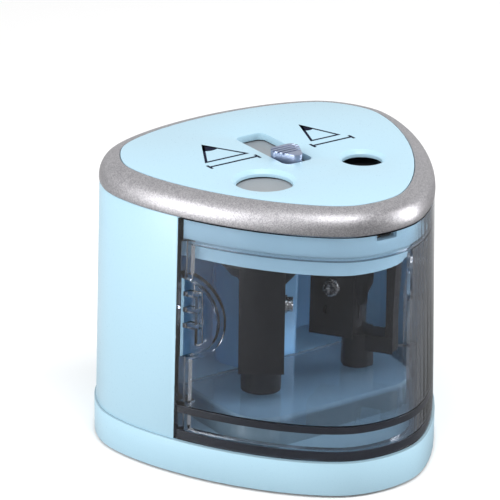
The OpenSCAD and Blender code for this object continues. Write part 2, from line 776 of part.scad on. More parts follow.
module cutter_holder(large) {
    hub_r = large ? hub_r_large : hub_r_small;
    pr = pencil_r(large);
    tail_r = large ? tail_r_large : tail_r_small;
    block_z = house_z - holder_bottom;
    arm_z0 = house_z - arm_bottom;
    arm_z1 = house_z - arm_top;
    color([0.1, 0.1, 0.11]) at_cutter(large) difference() {
        union() {
            translate([0, 0, gear_z - 0.1]) cylinder(h = gear_w + 0.3, r = hub_r, $fn = 96);
            translate([0, 0, house_z - 0.3]) cylinder(h = gear_z - house_z + 0.25, r = journal_r, $fn = 96);
            translate([0, 0, house_z - 1.4]) cylinder(h = 1.1, r = flange_r, $fn = 96);
            translate([0, 0, house_z - 9.8])
                cylinder(h = 8.5, r1 = holder_half_t, r2 = flange_r - 0.4, $fn = 96);
            translate([0, 0, cone_low(large) - 0.7])
                cylinder(h = cone_len(large) + 1, r1 = cone_tip_r + 1.3, r2 = pr + 1.8, $fn = 96);
            block([-holder_left, -holder_half_t, block_z], [0.2, holder_half_t, house_z - 0.9]);
            block([post_u0, -3, arm_z0], [post_u1, 3, house_z - 0.9]);
            block([-1, -3.5, arm_z0], [post_u1, 3.5, arm_z1]);
            translate([0, 0, tail_z]) cylinder(h = arm_z1 - tail_z, r = tail_r, $fn = 96);
        }
        translate([0, 0, cone_top(large)]) cylinder(h = 40, r = pr, $fn = 96);
        translate([0, 0, cone_low(large)])
            cylinder(h = cone_len(large) + 0.01, r1 = cone_tip_r, r2 = pr, $fn = 96);
        translate([0, 0, cone_low(large) - 6]) cylinder(h = 8, r = cone_tip_r, $fn = 32);
        translate([0, 0, tail_z - 1]) cylinder(h = 6, r = tail_r - 1.4, $fn = 64);
        on_cone(large) {
            translate([-10.2, 0, -1.2]) cube([11.2, 20, blade_l(large) + 0.2]);
            translate([-holder_left + blade_inset, 0, -1.2])
                cube([holder_left - 1, blade_t + 0.05, blade_l(large) + 0.2]);
        }
        translate([-screw_u, 0, house_z - screw_drop(large)]) rotate([90, 0, 0])
            cylinder(h = 40, r = screw_r + 0.1, center = true, $fn = 32);
        block([-holder_left + 4, -holder_half_t - 1, block_z + 6.4], [-holder_left + 4.9, 0, block_z + 8.6]);
    }
}
module cutter_holder_large() cutter_holder(true);
module cutter_holder_small() cutter_holder(false);

module blade(large) {
    color("gainsboro") at_cutter(large) difference() {
        on_cone(large) difference() {
            translate([-holder_left + blade_inset + 0.1, 0.02, -1.1])
                cube([holder_left - blade_inset - 0.1, blade_t, blade_l(large)]);
            translate([0, 0, -2]) rotate([0, 0, 60]) cube([3, 3, 60]);
        }
        translate([-screw_u, 0, house_z - screw_drop(large)]) rotate([90, 0, 0])
            cylinder(h = 40, r = screw_r, center = true, $fn = 32);
    }
}
module blade_large() blade(true);
module blade_small() blade(false);

module blade_screw(large) {
    rise = house_z - screw_drop(large) - cone_low(large);
    reach = cone_tip_r + rise * tan(cone_angle(large)) + blade_t + 0.6;
    color("silver") at_cutter(large)
        translate([-screw_u, -holder_half_t - washer_t, house_z - screw_drop(large)])
        rotate([-90, 0, 0]) difference() {
            union() {
                translate([0, 0, -1.5]) cylinder(h = 1.5, r = 2.05, $fn = 64);
                cylinder(h = holder_half_t + washer_t + reach, r = screw_r, $fn = 32);
            }
            for (a = [0, 90]) rotate([0, 0, a]) translate([-1.3, -0.28, -2]) cube([2.6, 0.56, 1.3]);
        }
}
module blade_screw_large() blade_screw(true);
module blade_screw_small() blade_screw(false);

module blade_washer(large) {
    color("silver") at_cutter(large) translate([-screw_u, -holder_half_t, house_z - screw_drop(large)])
        rotate([90, 0, 0]) difference() {
            cylinder(h = washer_t, r = washer_r, $fn = 64);
            translate([0, 0, -1]) cylinder(h = 3, r = screw_r, $fn = 32);
        }
}
module blade_washer_large() blade_washer(true);
module blade_washer_small() blade_washer(false);

// ---- Electrics ----

board_x = 15;
board_y = 4;
board_w = 16;
board_l = 15;
board_t = 1.2;
board_z = house_z + house_floor + 2;
board_pegs = [[2.5, 2.5], [13.5, 2.5], [2.5, 12.5]];

module circuit_board() {
    color("seagreen") difference() {
        block([board_x, board_y, board_z], [board_x + board_w, board_y + board_l, board_z + board_t]);
        translate([cover_spots[1][0], cover_spots[1][1], board_z - 1]) cylinder(h = 4, r = 3, $fn = 48);
    }
}

// A start switch lies beside each pencil guide; its plunger reaches through the sleeve
switch_l = 5.5;
switch_w = 6;
switch_h = 2;
plunger_r = 0.7;
plunger_reach = 1;
plunger_travel = 1;
plunger_l = 5;
switch_z = cover_z + cover_t + switch_h / 2;
function guide_r(s) = s < 0 ? guide_r_large : guide_r_small;
// Distance of the switch's near side from the hole's axis
function switch_near(s) = guide_r(s) + guide_collar + 0.2;

module start_switches() {
    color([0.15, 0.15, 0.16]) for (s = [-1, 1]) translate([s * hole_x, hole_y, switch_z])
        mirror([s > 0 ? 1 : 0, 0, 0])
        difference() {
            block([switch_near(s), -switch_w / 2, -switch_h / 2],
                [switch_near(s) + switch_l, switch_w / 2, switch_h / 2]);
            rotate([0, 90, 0]) cylinder(h = guide_r(s) - plunger_reach + plunger_l + plunger_travel + 0.2,
                r = plunger_r + run_gap, $fn = 32);
        }
}

module start_plunger(s) {
    color("white") translate([s * hole_x, hole_y, switch_z]) mirror([s > 0 ? 1 : 0, 0, 0])
        translate([guide_r(s) - plunger_reach, 0, 0]) rotate([0, 90, 0])
            cylinder(h = plunger_l, r = plunger_r, $fn = 32);
}
module start_plunger_large() start_plunger(-1);
module start_plunger_small() start_plunger(1);

// Two leaf contacts behind the front of the gear housing, which the drawer's tongue bridges
contact_y = edge(-90, -2.8)[1];
contact_z = house_z + house_floor;
module drawer_contacts() {
    color("gold") for (s = [-1, 1]) {
        block([s * 1.8 - 0.9, contact_y, contact_z], [s * 1.8 + 0.9, contact_y + 0.4, cover_z - 0.4]);
        block([s * 1.8 - 0.9, contact_y, contact_z], [s * 1.8 + 0.9, contact_y + 4.6, contact_z + 0.4]);
    }
}

// ---- Cells ----

function cell_x(i) = (i - 1.5) * cell_pitch;
function cell_y(i) = box_y0 + box_wall + cell_d / 2 + (abs(i - 1.5) < 1 ? 1.2 : 0);

// Ribs between the cells
rib_half = 0.3;
rib_reach = 5;
module battery_box() {
    color("dimgray") difference() {
        intersection() {
            slab(box_out, box_z0, box_z1);
            block([-box_half_w, box_y0, box_z0], [box_half_w, 80, box_z1]);
        }
        difference() {
            block([-box_half_w + box_wall, box_y0 + box_wall, box_z0 + box_wall],
                [box_half_w - box_wall, 80, box_z1 - box_wall]);
            for (i = [-1 : 1]) translate([i * cell_pitch, 0, 0])
                block([-rib_half, 0, 0], [rib_half, box_y0 + rib_reach, plate_z]);
        }
    }
}

// One conical contact spring, swept along a helix
spring_turns = 3.25;
spring_steps = 14;
spring_wire = 0.3;
function spring_ring(k) = let (f = k / (spring_turns * spring_steps), a = 360 * k / spring_steps,
    r = 3.8 - 1.4 * f)
    [for (j = [0 : 5]) [(r + spring_wire * cos(60 * j)) * cos(a), (r + spring_wire * cos(60 * j)) * sin(a),
        0.3 + 2.6 * f + spring_wire * sin(60 * j)]];
module contact_spring() {
    count = floor(spring_turns * spring_steps);
    points = [for (k = [0 : count]) for (p = spring_ring(k)) p];
    sides = [for (k = [0 : count - 1]) for (j = [0 : 5])
        [6 * k + j, 6 * k + (j + 1) % 6, 6 * k + 6 + (j + 1) % 6, 6 * k + 6 + j]];
    polyhedron(points, concat([[5, 4, 3, 2, 1, 0]], [[for (j = [0 : 5]) 6 * count + j]], sides), 4);
}

module battery_springs() {
    color("silver") for (i = [0 : 3]) translate([cell_x(i), cell_y(i), 0]) {
        if (i % 2 == 0) translate([0, 0, box_z0 + box_wall + 0.4]) contact_spring();
        else translate([0, 0, box_z1 - box_wall - 0.4]) mirror([0, 0, 1]) contact_spring();
    }
}

module battery_plates() {
    color("silver") for (i = [0 : 3]) translate([cell_x(i), cell_y(i), 0]) {
        block([-5.5, -4.5, box_z0 + box_wall], [5.5, 4.5, box_z0 + box_wall + 0.4]);
        block([-5.5, -4.5, box_z1 - box_wall - 0.4], [5.5, 4.5, box_z1 - box_wall]);
    }
}

module battery_door() {
    color("lightskyblue") {
        difference() {
            intersection() {
                leaning_wall(0, base_h, ring_z);
                block([-door_half_w, 25, door_z0], [door_half_w, 80, door_z1]);
            }
            leaning_wall(wall - 0.2, base_h - 0.01, ring_z + 0.01);
            for (i = [0 : 3]) block([-7, 20, door_z1 - 5 - 2 * i], [7, 45.2, door_z1 - 4.2 - 2 * i]);
        }
    }
}

base();
bottom_plate();
rubber_feet();
bottom_screws();
rear_shell();
inner_frame();
gear_housing();
housing_screws();
gear_cover();
cover_screws();
guide_bush_large();
guide_bush_small();
bezel_ring();
top_plate();
selector_shutter();
selector_knob();
drawer();
motor_can();
motor_end_cap();
motor_bearing();
motor_terminals();
motor_screws();
motor_shaft();
motor_pinion();
compound_gear();
compound_axle();
cutter_gear_large();
cutter_gear_small();
cutter_holder_large();
cutter_holder_small();
blade_large();
blade_small();
blade_screw_large();
blade_screw_small();
blade_washer_large();
blade_washer_small();
circuit_board();
start_switches();
start_plunger_large();
start_plunger_small();
drawer_contacts();
battery_box();
battery_springs();
battery_plates();
battery_door();
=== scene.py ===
"""Looks of the two-hole electric pencil sharpener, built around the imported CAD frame. Metres, +Z up."""
import math

import bmesh
import bpy
from mathutils import Matrix, Vector


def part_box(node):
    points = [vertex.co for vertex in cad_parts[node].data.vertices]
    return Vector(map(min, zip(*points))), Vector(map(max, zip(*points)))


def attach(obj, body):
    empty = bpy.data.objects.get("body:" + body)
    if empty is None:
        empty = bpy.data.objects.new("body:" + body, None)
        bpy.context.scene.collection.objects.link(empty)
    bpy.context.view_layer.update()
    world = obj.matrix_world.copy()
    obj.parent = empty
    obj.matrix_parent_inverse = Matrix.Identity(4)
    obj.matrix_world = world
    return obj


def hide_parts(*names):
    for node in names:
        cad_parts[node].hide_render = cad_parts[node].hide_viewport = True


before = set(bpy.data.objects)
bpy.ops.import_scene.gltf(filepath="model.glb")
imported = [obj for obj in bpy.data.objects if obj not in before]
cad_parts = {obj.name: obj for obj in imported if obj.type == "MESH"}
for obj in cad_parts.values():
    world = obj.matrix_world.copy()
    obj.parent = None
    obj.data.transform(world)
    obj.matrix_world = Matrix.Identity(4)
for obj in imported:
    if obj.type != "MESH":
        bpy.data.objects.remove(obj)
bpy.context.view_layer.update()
MM = 0.001


# ---- Driving sizes, in millimetres, read from the frame ----

def low(node, axis=2):
    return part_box(node)[0][axis] / MM


def high(node, axis=2):
    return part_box(node)[1][axis] / MM


CORNER_PULL = 4.3
SIDE_PRESS = 0.6
PLATE_R = high("top_plate", 1) - low("top_plate", 1)
PLATE_R = PLATE_R / 2 + SIDE_PRESS
MID_Y = CORNER_PULL
PLATE_Z = high("top_plate")
RING_Z = low("bezel_ring")
BASE_Z = low("rear_shell")
DRAWER_Z = low("drawer")
SEAM_Y = low("rear_shell", 1)
WALL = 2.2
OUT_LOW = 7.1
OUT_TOP = 5.8
HOLE_X = 16.3
HOLE_Y = -10.7
HOLE_R_LARGE = 7.75
HOLE_R_SMALL = 5.55
HOLE_CHAMFER_R = 1.5
HOLE_CHAMFER_DEPTH = 1.1
RING_GAP = 0.15
RING_LIP = 0.6
RING_FOOT_R = 0.5
RING_EDGE_R = 0.4

# Printed signs: thickness over the plate, line widths and the filled tip's share of the height
SIGN_SUNK = 0.05
SIGN_RISE = 0.03
SIGN_LINE = 0.75
BAR_HALF = 0.4
TICK_HALF = 1.4
TIP_SHARE = 0.36
TIP_SAG = 0.81
TIP_POINTS = 8
SIGNS = (("sign_large", (-15.2, 21.6), 8.8, 7.3, 5.6, 7.9), ("sign_small", (16.9, 20.6), 7.4, 5.1, 4.3, 6.6))

# Painted shade: opaque dark bands in the drawer's wall, standing in for the darkness the thick clear plastic
# shows at its floor and foot. Columns: from and to, above the drawer's foot, and how far inside the outline
DRAWER_PAINTED_SHADE_BANDS = (("drawer_floor_painted_shade", 7.8, 9.7), ("drawer_foot_painted_shade", 0.15, 2.5))
BAND_IN = 1.5
BAND_OUT = 0.7

# Sleeve on the gear housing: height below the ring, and the contact window cut through it
SLEEVE_H = 6.4
SLEEVE_T = 0.35
WINDOW_HALF_W = 3.1
WINDOW_LOW = 2.6
WINDOW_HIGH = 0.8


def support(t, d):
    p = t + math.pi / 2
    return PLATE_R + d + CORNER_PULL * math.cos(3 * p) - SIDE_PRESS * math.cos(6 * p)


def edge(t, d):
    """Point of the body's outline, moved out by d, where its normal points in the direction t."""
    p = t + math.pi / 2
    h = support(t, d)
    s = -3 * CORNER_PULL * math.sin(3 * p) + 6 * SIDE_PRESS * math.sin(6 * p)
    return (h * math.cos(t) - s * math.sin(t), MID_Y + h * math.sin(t) + s * math.cos(t))


def lean(z):
    """How far the walls stand out at the height z."""
    return OUT_LOW + (OUT_TOP - OUT_LOW) * (z - BASE_Z) / (RING_Z - BASE_Z)


def t_where_y(y, d):
    """Direction t at which the right half of the outline, moved out by d, passes y."""
    lo, hi = -math.pi / 2, math.pi / 2
    for _ in range(50):
        mid = (lo + hi) / 2
        if edge(mid, d)[1] < y:
            lo = mid
        else:
            hi = mid
    return lo


# ---- Mesh helpers ----

def new_object(name, verts, faces, smooth_angle=35):
    me = bpy.data.meshes.new(name)
    me.from_pydata([tuple(c * MM for c in v) for v in verts], [], faces)
    bm = bmesh.new()
    bm.from_mesh(me)
    bmesh.ops.recalc_face_normals(bm, faces=bm.faces)
    bm.to_mesh(me)
    bm.free()
    ob = bpy.data.objects.new(name, me)
    bpy.context.scene.collection.objects.link(ob)
    smooth(ob, smooth_angle)
    return ob


def smooth(ob, angle=35):
    ob.data.polygons.foreach_set("use_smooth", [True] * len(ob.data.polygons))
    ob.data.set_sharp_from_angle(angle=math.radians(angle))


def sweep(name, profile, count=288, span=None, smooth_angle=35):
    """Carries a closed profile of (d, z) points round the outline. span(d) gives the two end directions
    of an open stretch, and its ends are closed flat."""
    rows = []
    closed = span is None
    steps = count if closed else count + 1
    for d, z in profile:
        t0, t1 = (0, 2 * math.pi) if closed else span(d)
        rows.append([(*edge(t0 + (t1 - t0) * i / count, d), z) for i in range(steps)])
    verts = [v for row in rows for v in row]
    m = len(profile)
    faces = []
    for k in range(m):
        a, b = k * steps, ((k + 1) % m) * steps
        for i in range(count):
            j = (i + 1) % steps
            faces.append((a + i, a + j, b + j, b + i))
    if not closed:
        faces.append([k * steps for k in range(m)])
        faces.append([k * steps + count for k in reversed(range(m))])
    return new_object(name, verts, faces, smooth_angle)


def arc(cx, cz, rx, rz, a0, a1, count=6):
    """Points on an ellipse in the (d, z) plane, angles in degrees."""
    return [(cx + rx * math.cos(math.radians(a0 + (a1 - a0) * i / count)),
             cz + rz * math.sin(math.radians(a0 + (a1 - a0) * i / count))) for i in range(count + 1)]


BEVEL_FROM = 32
SPLIT_FROM = 36


def add_modifier(ob, kind, **values):
    mod = ob.modifiers.new(kind.lower(), kind)
    for key, value in values.items():
        setattr(mod, key, value)
    return mod


def soften(node, width):
    """Welds a CAD node's mesh and rounds its sharp edges, as a moulding's are."""
    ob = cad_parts[node]
    add_modifier(ob, "WELD", merge_threshold=1e-6)
    if width:
        add_modifier(ob, "BEVEL", width=width * MM, segments=2, limit_method="ANGLE",
                     angle_limit=math.radians(BEVEL_FROM), harden_normals=False, use_clamp_overlap=True)
    add_modifier(ob, "EDGE_SPLIT", split_angle=math.radians(SPLIT_FROM), use_edge_sharp=False)
    ob.data.polygons.foreach_set("use_smooth", [True] * len(ob.data.polygons))
    return ob


# ---- Camera, floor and light ----

CAM_AZ = math.radians(-35.12)
CAM_EL = math.radians(22.45)
CAM_ROLL = math.radians(0.6)
CAM_DISTANCE = 1.0
CAM_FOCAL_SHARE = 7.158
CAM_SENSOR = 36
CAM_TARGET_Z = 40
AIM_LEFT = 8.63 * MM
AIM_UP = 12.2 * MM


def make_camera():
    target = Vector((0, MID_Y * MM, CAM_TARGET_Z * MM))
    level = math.cos(CAM_EL)
    back = Vector((math.sin(CAM_AZ) * level, -math.cos(CAM_AZ) * level, math.sin(CAM_EL)))
    right = Vector((math.cos(CAM_AZ), math.sin(CAM_AZ), 0))
    up = back.cross(right)
    place = target + back * CAM_DISTANCE
    aim = target - right * AIM_LEFT + up * AIM_UP
    z = (place - aim).normalized()
    x = Vector((0, 0, 1)).cross(z).normalized()
    y = z.cross(x)
    turn = Matrix((x, y, z)).transposed() @ Matrix.Rotation(CAM_ROLL, 3, "Z")
    cam = bpy.data.cameras.new("camera")
    cam.sensor_width = CAM_SENSOR
    cam.lens = CAM_FOCAL_SHARE * CAM_SENSOR
    cam.clip_end = 10
    ob = bpy.data.objects.new("camera", cam)
    ob.matrix_world = Matrix.Translation(place) @ turn.to_4x4()
    bpy.context.scene.collection.objects.link(ob)
    bpy.context.scene.camera = ob


def area_light(name, place, aim, size, power):
    data = bpy.data.lights.new(name, "AREA")
    data.shape = "RECTANGLE"
    data.size, data.size_y = size
    data.energy = power
    ob = bpy.data.objects.new(name, data)
    ob.location = place
    ob.rotation_euler = (Vector(aim) - Vector(place)).to_track_quat("-Z", "Y").to_euler()
    ob.visible_glossy = name not in UNREFLECTED
    bpy.context.scene.collection.objects.link(ob)


DARK_SIDE = (0.35, -0.92, -0.1)
WORLD_BRIGHT = 0.78
WORLD_DARK = 0.16
FLOOR_SEEN = 0.95
FLOOR_BACK = 0.55
FLOOR_FRONT = 0.2
FLOOR_HALF = 6

# Name, place, aim, size and watts of each light; UNREFLECTED ones do not show in glossy surfaces
LIGHTS = [
    ("left_softbox", (-0.85, 0.05, 0.35), (0, 0, 0.05), (0.45, 0.7), 5.0),
    ("top_softbox", (-0.15, -0.42, 0.78), (0, 0, 0.08), (0.6, 0.4), 3.4),
    ("right_softbox", (0.8, -0.45, 0.25), (0, 0, 0.04), (0.3, 0.6), 6.6),
    ("front_fill", (-0.1, -0.95, 0.22), (0, 0, 0.02), (0.5, 0.3), 3.0),
]
UNREFLECTED = ("front_fill",)


def front_shade(tree, coordinate, near, far, bright, dark):
    """A value that falls from bright to dark towards DARK_SIDE, as beside a dark studio."""
    place = tree.nodes.new("ShaderNodeTexCoord")
    towards = tree.nodes.new("ShaderNodeVectorMath")
    towards.operation = "DOT_PRODUCT"
    towards.inputs[1].default_value = DARK_SIDE
    tree.links.new(place.outputs[coordinate], towards.inputs[0])
    shade = tree.nodes.new("ShaderNodeMapRange")
    shade.interpolation_type = "SMOOTHSTEP"
    shade.inputs["From Min"].default_value = near
    shade.inputs["From Max"].default_value = far
    shade.inputs["To Min"].default_value = bright
    shade.inputs["To Max"].default_value = dark
    tree.links.new(towards.outputs["Value"], shade.inputs["Value"])
    return shade.outputs["Result"]


def make_stage():
    me = bpy.data.meshes.new("floor")
    s = FLOOR_HALF
    me.from_pydata([(-s, -s, 0), (s, -s, 0), (s, s, 0), (-s, s, 0)], [], [(0, 1, 2, 3)])
    floor = bpy.data.objects.new("floor", me)
    bpy.context.scene.collection.objects.link(floor)
    mat = bpy.data.materials.new("floor_white")
    mat.use_nodes = True
    tree = mat.node_tree
    tree.nodes.remove(tree.nodes["Principled BSDF"])
    seen = node(tree, "ShaderNodeBsdfDiffuse", Color=(*[FLOOR_SEEN] * 3, 1))
    lit = tree.nodes.new("ShaderNodeBsdfDiffuse")
    tree.links.new(front_shade(tree, "Object", -0.06, 0.02, FLOOR_BACK, FLOOR_FRONT), lit.inputs["Color"])
    rays = tree.nodes.new("ShaderNodeLightPath")
    mix = tree.nodes.new("ShaderNodeMixShader")
    tree.links.new(rays.outputs["Is Camera Ray"], mix.inputs["Fac"])
    tree.links.new(lit.outputs["BSDF"], mix.inputs[1])
    tree.links.new(seen.outputs["BSDF"], mix.inputs[2])
    tree.links.new(mix.outputs["Shader"], tree.nodes["Material Output"].inputs["Surface"])
    floor.data.materials.append(mat)
    world = bpy.data.worlds.new("studio")
    world.use_nodes = True
    tree = world.node_tree
    shade = front_shade(tree, "Generated", -0.1, 0.75, WORLD_BRIGHT, WORLD_DARK)
    tree.links.new(shade, tree.nodes["Background"].inputs["Strength"])
    tree.nodes["Background"].inputs["Color"].default_value = (1, 1, 1, 1)
    bpy.context.scene.world = world
    for light in LIGHTS:
        area_light(*light)
    scene = bpy.context.scene
    scene.view_settings.view_transform = "Standard"
    scene.view_settings.look = "None"


# ---- Materials ----

def node(tree, kind, **inputs):
    made = tree.nodes.new(kind)
    for key, value in inputs.items():
        made.inputs[key.replace("_", " ")].default_value = value
    return made


def material(name, colour, roughness, metallic=0.0, **sockets):
    mat = bpy.data.materials.new(name)
    mat.use_nodes = True
    shader = mat.node_tree.nodes["Principled BSDF"]
    shader.inputs["Base Color"].default_value = (*colour, 1)
    shader.inputs["Roughness"].default_value = roughness
    shader.inputs["Metallic"].default_value = metallic
    for key, value in sockets.items():
        shader.inputs[key.replace("_", " ")].default_value = value
    return mat


def surface_noise(mat, scale, rough_range, bump, bump_distance, colours=None, stretch=(1, 1, 1)):
    """Drives roughness, bump and colour from one procedural noise in object space; scale is per metre."""
    tree = mat.node_tree
    shader = tree.nodes["Principled BSDF"]
    place = tree.nodes.new("ShaderNodeTexCoord")
    mapping = tree.nodes.new("ShaderNodeMapping")
    mapping.inputs["Scale"].default_value = stretch
    noise = node(tree, "ShaderNodeTexNoise", Scale=scale, Detail=3.0, Roughness=0.55)
    tree.links.new(place.outputs["Object"], mapping.inputs["Vector"])
    tree.links.new(mapping.outputs["Vector"], noise.inputs["Vector"])
    span = node(tree, "ShaderNodeMapRange")
    span.inputs["From Min"].default_value = 0.3
    span.inputs["From Max"].default_value = 0.7
    span.inputs["To Min"].default_value = rough_range[0]
    span.inputs["To Max"].default_value = rough_range[1]
    tree.links.new(noise.outputs["Fac"], span.inputs["Value"])
    tree.links.new(span.outputs["Result"], shader.inputs["Roughness"])
    bumps = node(tree, "ShaderNodeBump", Strength=bump, Distance=bump_distance * MM)
    tree.links.new(noise.outputs["Fac"], bumps.inputs["Height"])
    tree.links.new(bumps.outputs["Normal"], shader.inputs["Normal"])
    if colours:
        ramp = tree.nodes.new("ShaderNodeValToRGB")
        ramp.color_ramp.elements[0].position = 0.35
        ramp.color_ramp.elements[0].color = (*colours[0], 1)
        ramp.color_ramp.elements[1].position = 0.65
        ramp.color_ramp.elements[1].color = (*colours[1], 1)
        tree.links.new(noise.outputs["Fac"], ramp.inputs["Fac"])
        tree.links.new(ramp.outputs["Color"], shader.inputs["Base Color"])
    return mat


def blue_plastic(name, base, dark):
    """Light blue moulded ABS, satin with a very fine grain."""
    mat = material(name, base, 0.3, Coat_Weight=0.15, Coat_Roughness=0.2)
    return surface_noise(mat, 2600, (0.27, 0.36), 0.12, 0.01, colours=(dark, base))


def shaded_ledge(mat):
    """Darkens the base between its ledge and its deck, where the drawer's foot keeps the light away."""
    tree = mat.node_tree
    shader = tree.nodes["Principled BSDF"]
    source = shader.inputs["Base Color"].links[0].from_socket
    place = tree.nodes.new("ShaderNodeTexCoord")
    split = tree.nodes.new("ShaderNodeSeparateXYZ")
    tree.links.new(place.outputs["Object"], split.inputs["Vector"])
    window = tree.nodes.new("ShaderNodeValToRGB")
    stops = window.color_ramp
    stops.elements[0].position = 0.0
    stops.elements[0].color = (1, 1, 1, 1)
    stops.elements[1].position = 1.0
    stops.elements[1].color = (1, 1, 1, 1)
    for place_at, value in LEDGE_STOPS:
        stop = stops.elements.new(place_at)
        stop.color = (value, value, value, 1)
    scale = tree.nodes.new("ShaderNodeMath")
    scale.operation = "MULTIPLY"
    scale.inputs[1].default_value = LEDGE_SCALE
    tree.links.new(split.outputs["Z"], scale.inputs[0])
    tree.links.new(scale.outputs["Value"], window.inputs["Fac"])
    dim = tree.nodes.new("ShaderNodeMix")
    dim.data_type = "RGBA"
    dim.blend_type = "MULTIPLY"
    dim.inputs[0].default_value = 1.0
    tree.links.new(source, dim.inputs[6])
    tree.links.new(window.outputs["Color"], dim.inputs[7])
    tree.links.new(dim.outputs[2], shader.inputs["Base Color"])
    return mat


# The shade by height: the height in metres times LEDGE_SCALE, and the share of the colour kept there
LEDGE_SHADE = 0.35
LEDGE_SCALE = 10.0
LEDGE_STOPS = ((0.1036, 1.0), (0.1039, LEDGE_SHADE), (0.160, LEDGE_SHADE), (0.174, 1.0))


def flake_paint():
    """Silver paint with metal flakes about 0.2 mm across."""
    mat = material("silver_flake_paint", (0.62, 0.61, 0.63), 0.4, metallic=0.85)
    tree = mat.node_tree
    shader = tree.nodes["Principled BSDF"]
    place = tree.nodes.new("ShaderNodeTexCoord")
    flakes = node(tree, "ShaderNodeTexVoronoi", Scale=4200.0)
    tree.links.new(place.outputs["Object"], flakes.inputs["Vector"])
    split = tree.nodes.new("ShaderNodeSeparateColor")
    tree.links.new(flakes.outputs["Color"], split.inputs["Color"])
    ramp = tree.nodes.new("ShaderNodeValToRGB")
    ramp.color_ramp.elements[0].color = (0.30, 0.295, 0.315, 1)
    ramp.color_ramp.elements[1].color = (0.52, 0.51, 0.53, 1)
    tree.links.new(split.outputs["Red"], ramp.inputs["Fac"])
    tree.links.new(ramp.outputs["Color"], shader.inputs["Base Color"])
    span = node(tree, "ShaderNodeMapRange")
    span.inputs["To Min"].default_value = 0.3
    span.inputs["To Max"].default_value = 0.5
    tree.links.new(split.outputs["Green"], span.inputs["Value"])
    tree.links.new(span.outputs["Result"], shader.inputs["Roughness"])
    bumps = node(tree, "ShaderNodeBump", Strength=0.35, Distance=0.02 * MM)
    tree.links.new(split.outputs["Blue"], bumps.inputs["Height"])
    tree.links.new(bumps.outputs["Normal"], shader.inputs["Normal"])
    return mat


def smoky_clear():
    """Blue-grey transparent polystyrene: light is taken up along its way through the wall, and shadow rays
    pass tinted, so that the inside is lit."""
    mat = material("smoky_clear", (1.0, 1.0, 1.0), 0.03, IOR=1.5, Transmission_Weight=1.0,
                   Specular_IOR_Level=0.08)
    surface_noise(mat, 700, (0.015, 0.05), 0.03, 0.01)
    tree = mat.node_tree
    shader = tree.nodes["Principled BSDF"]
    output = tree.nodes["Material Output"]
    absorb = node(tree, "ShaderNodeVolumeAbsorption", Density=SMOKE_DENSITY)
    absorb.inputs["Color"].default_value = (*SMOKE_COLOUR, 1)
    tree.links.new(absorb.outputs["Volume"], output.inputs["Volume"])
    through = tree.nodes.new("ShaderNodeBsdfTransparent")
    through.inputs["Color"].default_value = (*SMOKE_SHADOW, 1)
    rays = tree.nodes.new("ShaderNodeLightPath")
    mix = tree.nodes.new("ShaderNodeMixShader")
    tree.links.new(rays.outputs["Is Shadow Ray"], mix.inputs["Fac"])
    tree.links.new(shader.outputs["BSDF"], mix.inputs[1])
    tree.links.new(through.outputs["BSDF"], mix.inputs[2])
    tree.links.new(mix.outputs["Shader"], output.inputs["Surface"])
    return mat


SMOKE_DENSITY = 310.0
SMOKE_COLOUR = (0.66, 0.69, 0.74)
SMOKE_SHADOW = (0.93, 0.95, 0.97)
BLUE = (0.43, 0.645, 0.765)
BLUE_DARK = (0.415, 0.63, 0.755)

# Name: (material name, colour, roughness, metallic, other sockets), then the surface noise's values
PLAIN = {
    "black": (("black_nylon", (0.011, 0.011, 0.013), 0.5, 0.0, {"Specular_IOR_Level": 0.3}),
              (1800, (0.38, 0.52), 0.2, 0.02)),
    "grey": (("grey_abs", (0.30, 0.32, 0.34), 0.45, 0.0, {}), (2200, (0.4, 0.52), 0.15, 0.01)),
    "white": (("white_acetal", (0.82, 0.82, 0.80), 0.4, 0.0, {}), (1500, (0.34, 0.46), 0.1, 0.01)),
    "screw": (("zinc_steel", (0.66, 0.66, 0.67), 0.22, 1.0, {}), (2500, (0.16, 0.3), 0.15, 0.008)),
    "brass": (("brass", (0.78, 0.58, 0.27), 0.3, 1.0, {}), (2000, (0.22, 0.38), 0.1, 0.01)),
    "rubber": (("black_rubber", (0.03, 0.03, 0.032), 0.75, 0.0, {}), (1500, (0.68, 0.85), 0.3, 0.03)),
    "board": (("green_board", (0.02, 0.16, 0.07), 0.35, 0.0, {}), (1200, (0.28, 0.42), 0.1, 0.01)),
    "ink": (("black_ink", (0.010, 0.012, 0.03), 0.9, 0.0, {"Specular_IOR_Level": 0.1}),
            (3000, (0.8, 1.0), 0.2, 0.005)),
    # painted shade: near-black material for the drawer's bands, which stand in for the darkness of the thick
    # clear wall
    "painted_shade_band": (("painted_glass_shade", (0.008, 0.010, 0.017), 0.3, 0.0, {}), (900, (0.28, 0.34), 0.02, 0.01)),
    # painted reflection: the knob's silver is tinted blue to stand in for the blue body it reflects
    "knob": (("silver_knob_painted_blue_reflection", (0.32, 0.37, 0.50), 0.35, 0.85, {}), (1800, (0.28, 0.42), 0.15, 0.01)),
}


def make_materials():
    made = {
        "blue": blue_plastic("light_blue_abs", BLUE, BLUE_DARK),
        "base": shaded_ledge(blue_plastic("light_blue_base", BLUE, BLUE_DARK)),
        "inner": blue_plastic("inner_blue_abs", (0.29, 0.56, 0.84), (0.275, 0.54, 0.82)),
        "silver": flake_paint(),
        "clear": smoky_clear(),
        "steel": surface_noise(material("ground_steel", (0.70, 0.71, 0.72), 0.25, metallic=1.0), 900,
                               (0.18, 0.36), 0.25, 0.01, stretch=(1, 1, 14)),
    }
    for key, ((name, colour, roughness, metallic, sockets), noise) in PLAIN.items():
        made[key] = surface_noise(material(name, colour, roughness, metallic, **sockets), *noise)
    return made


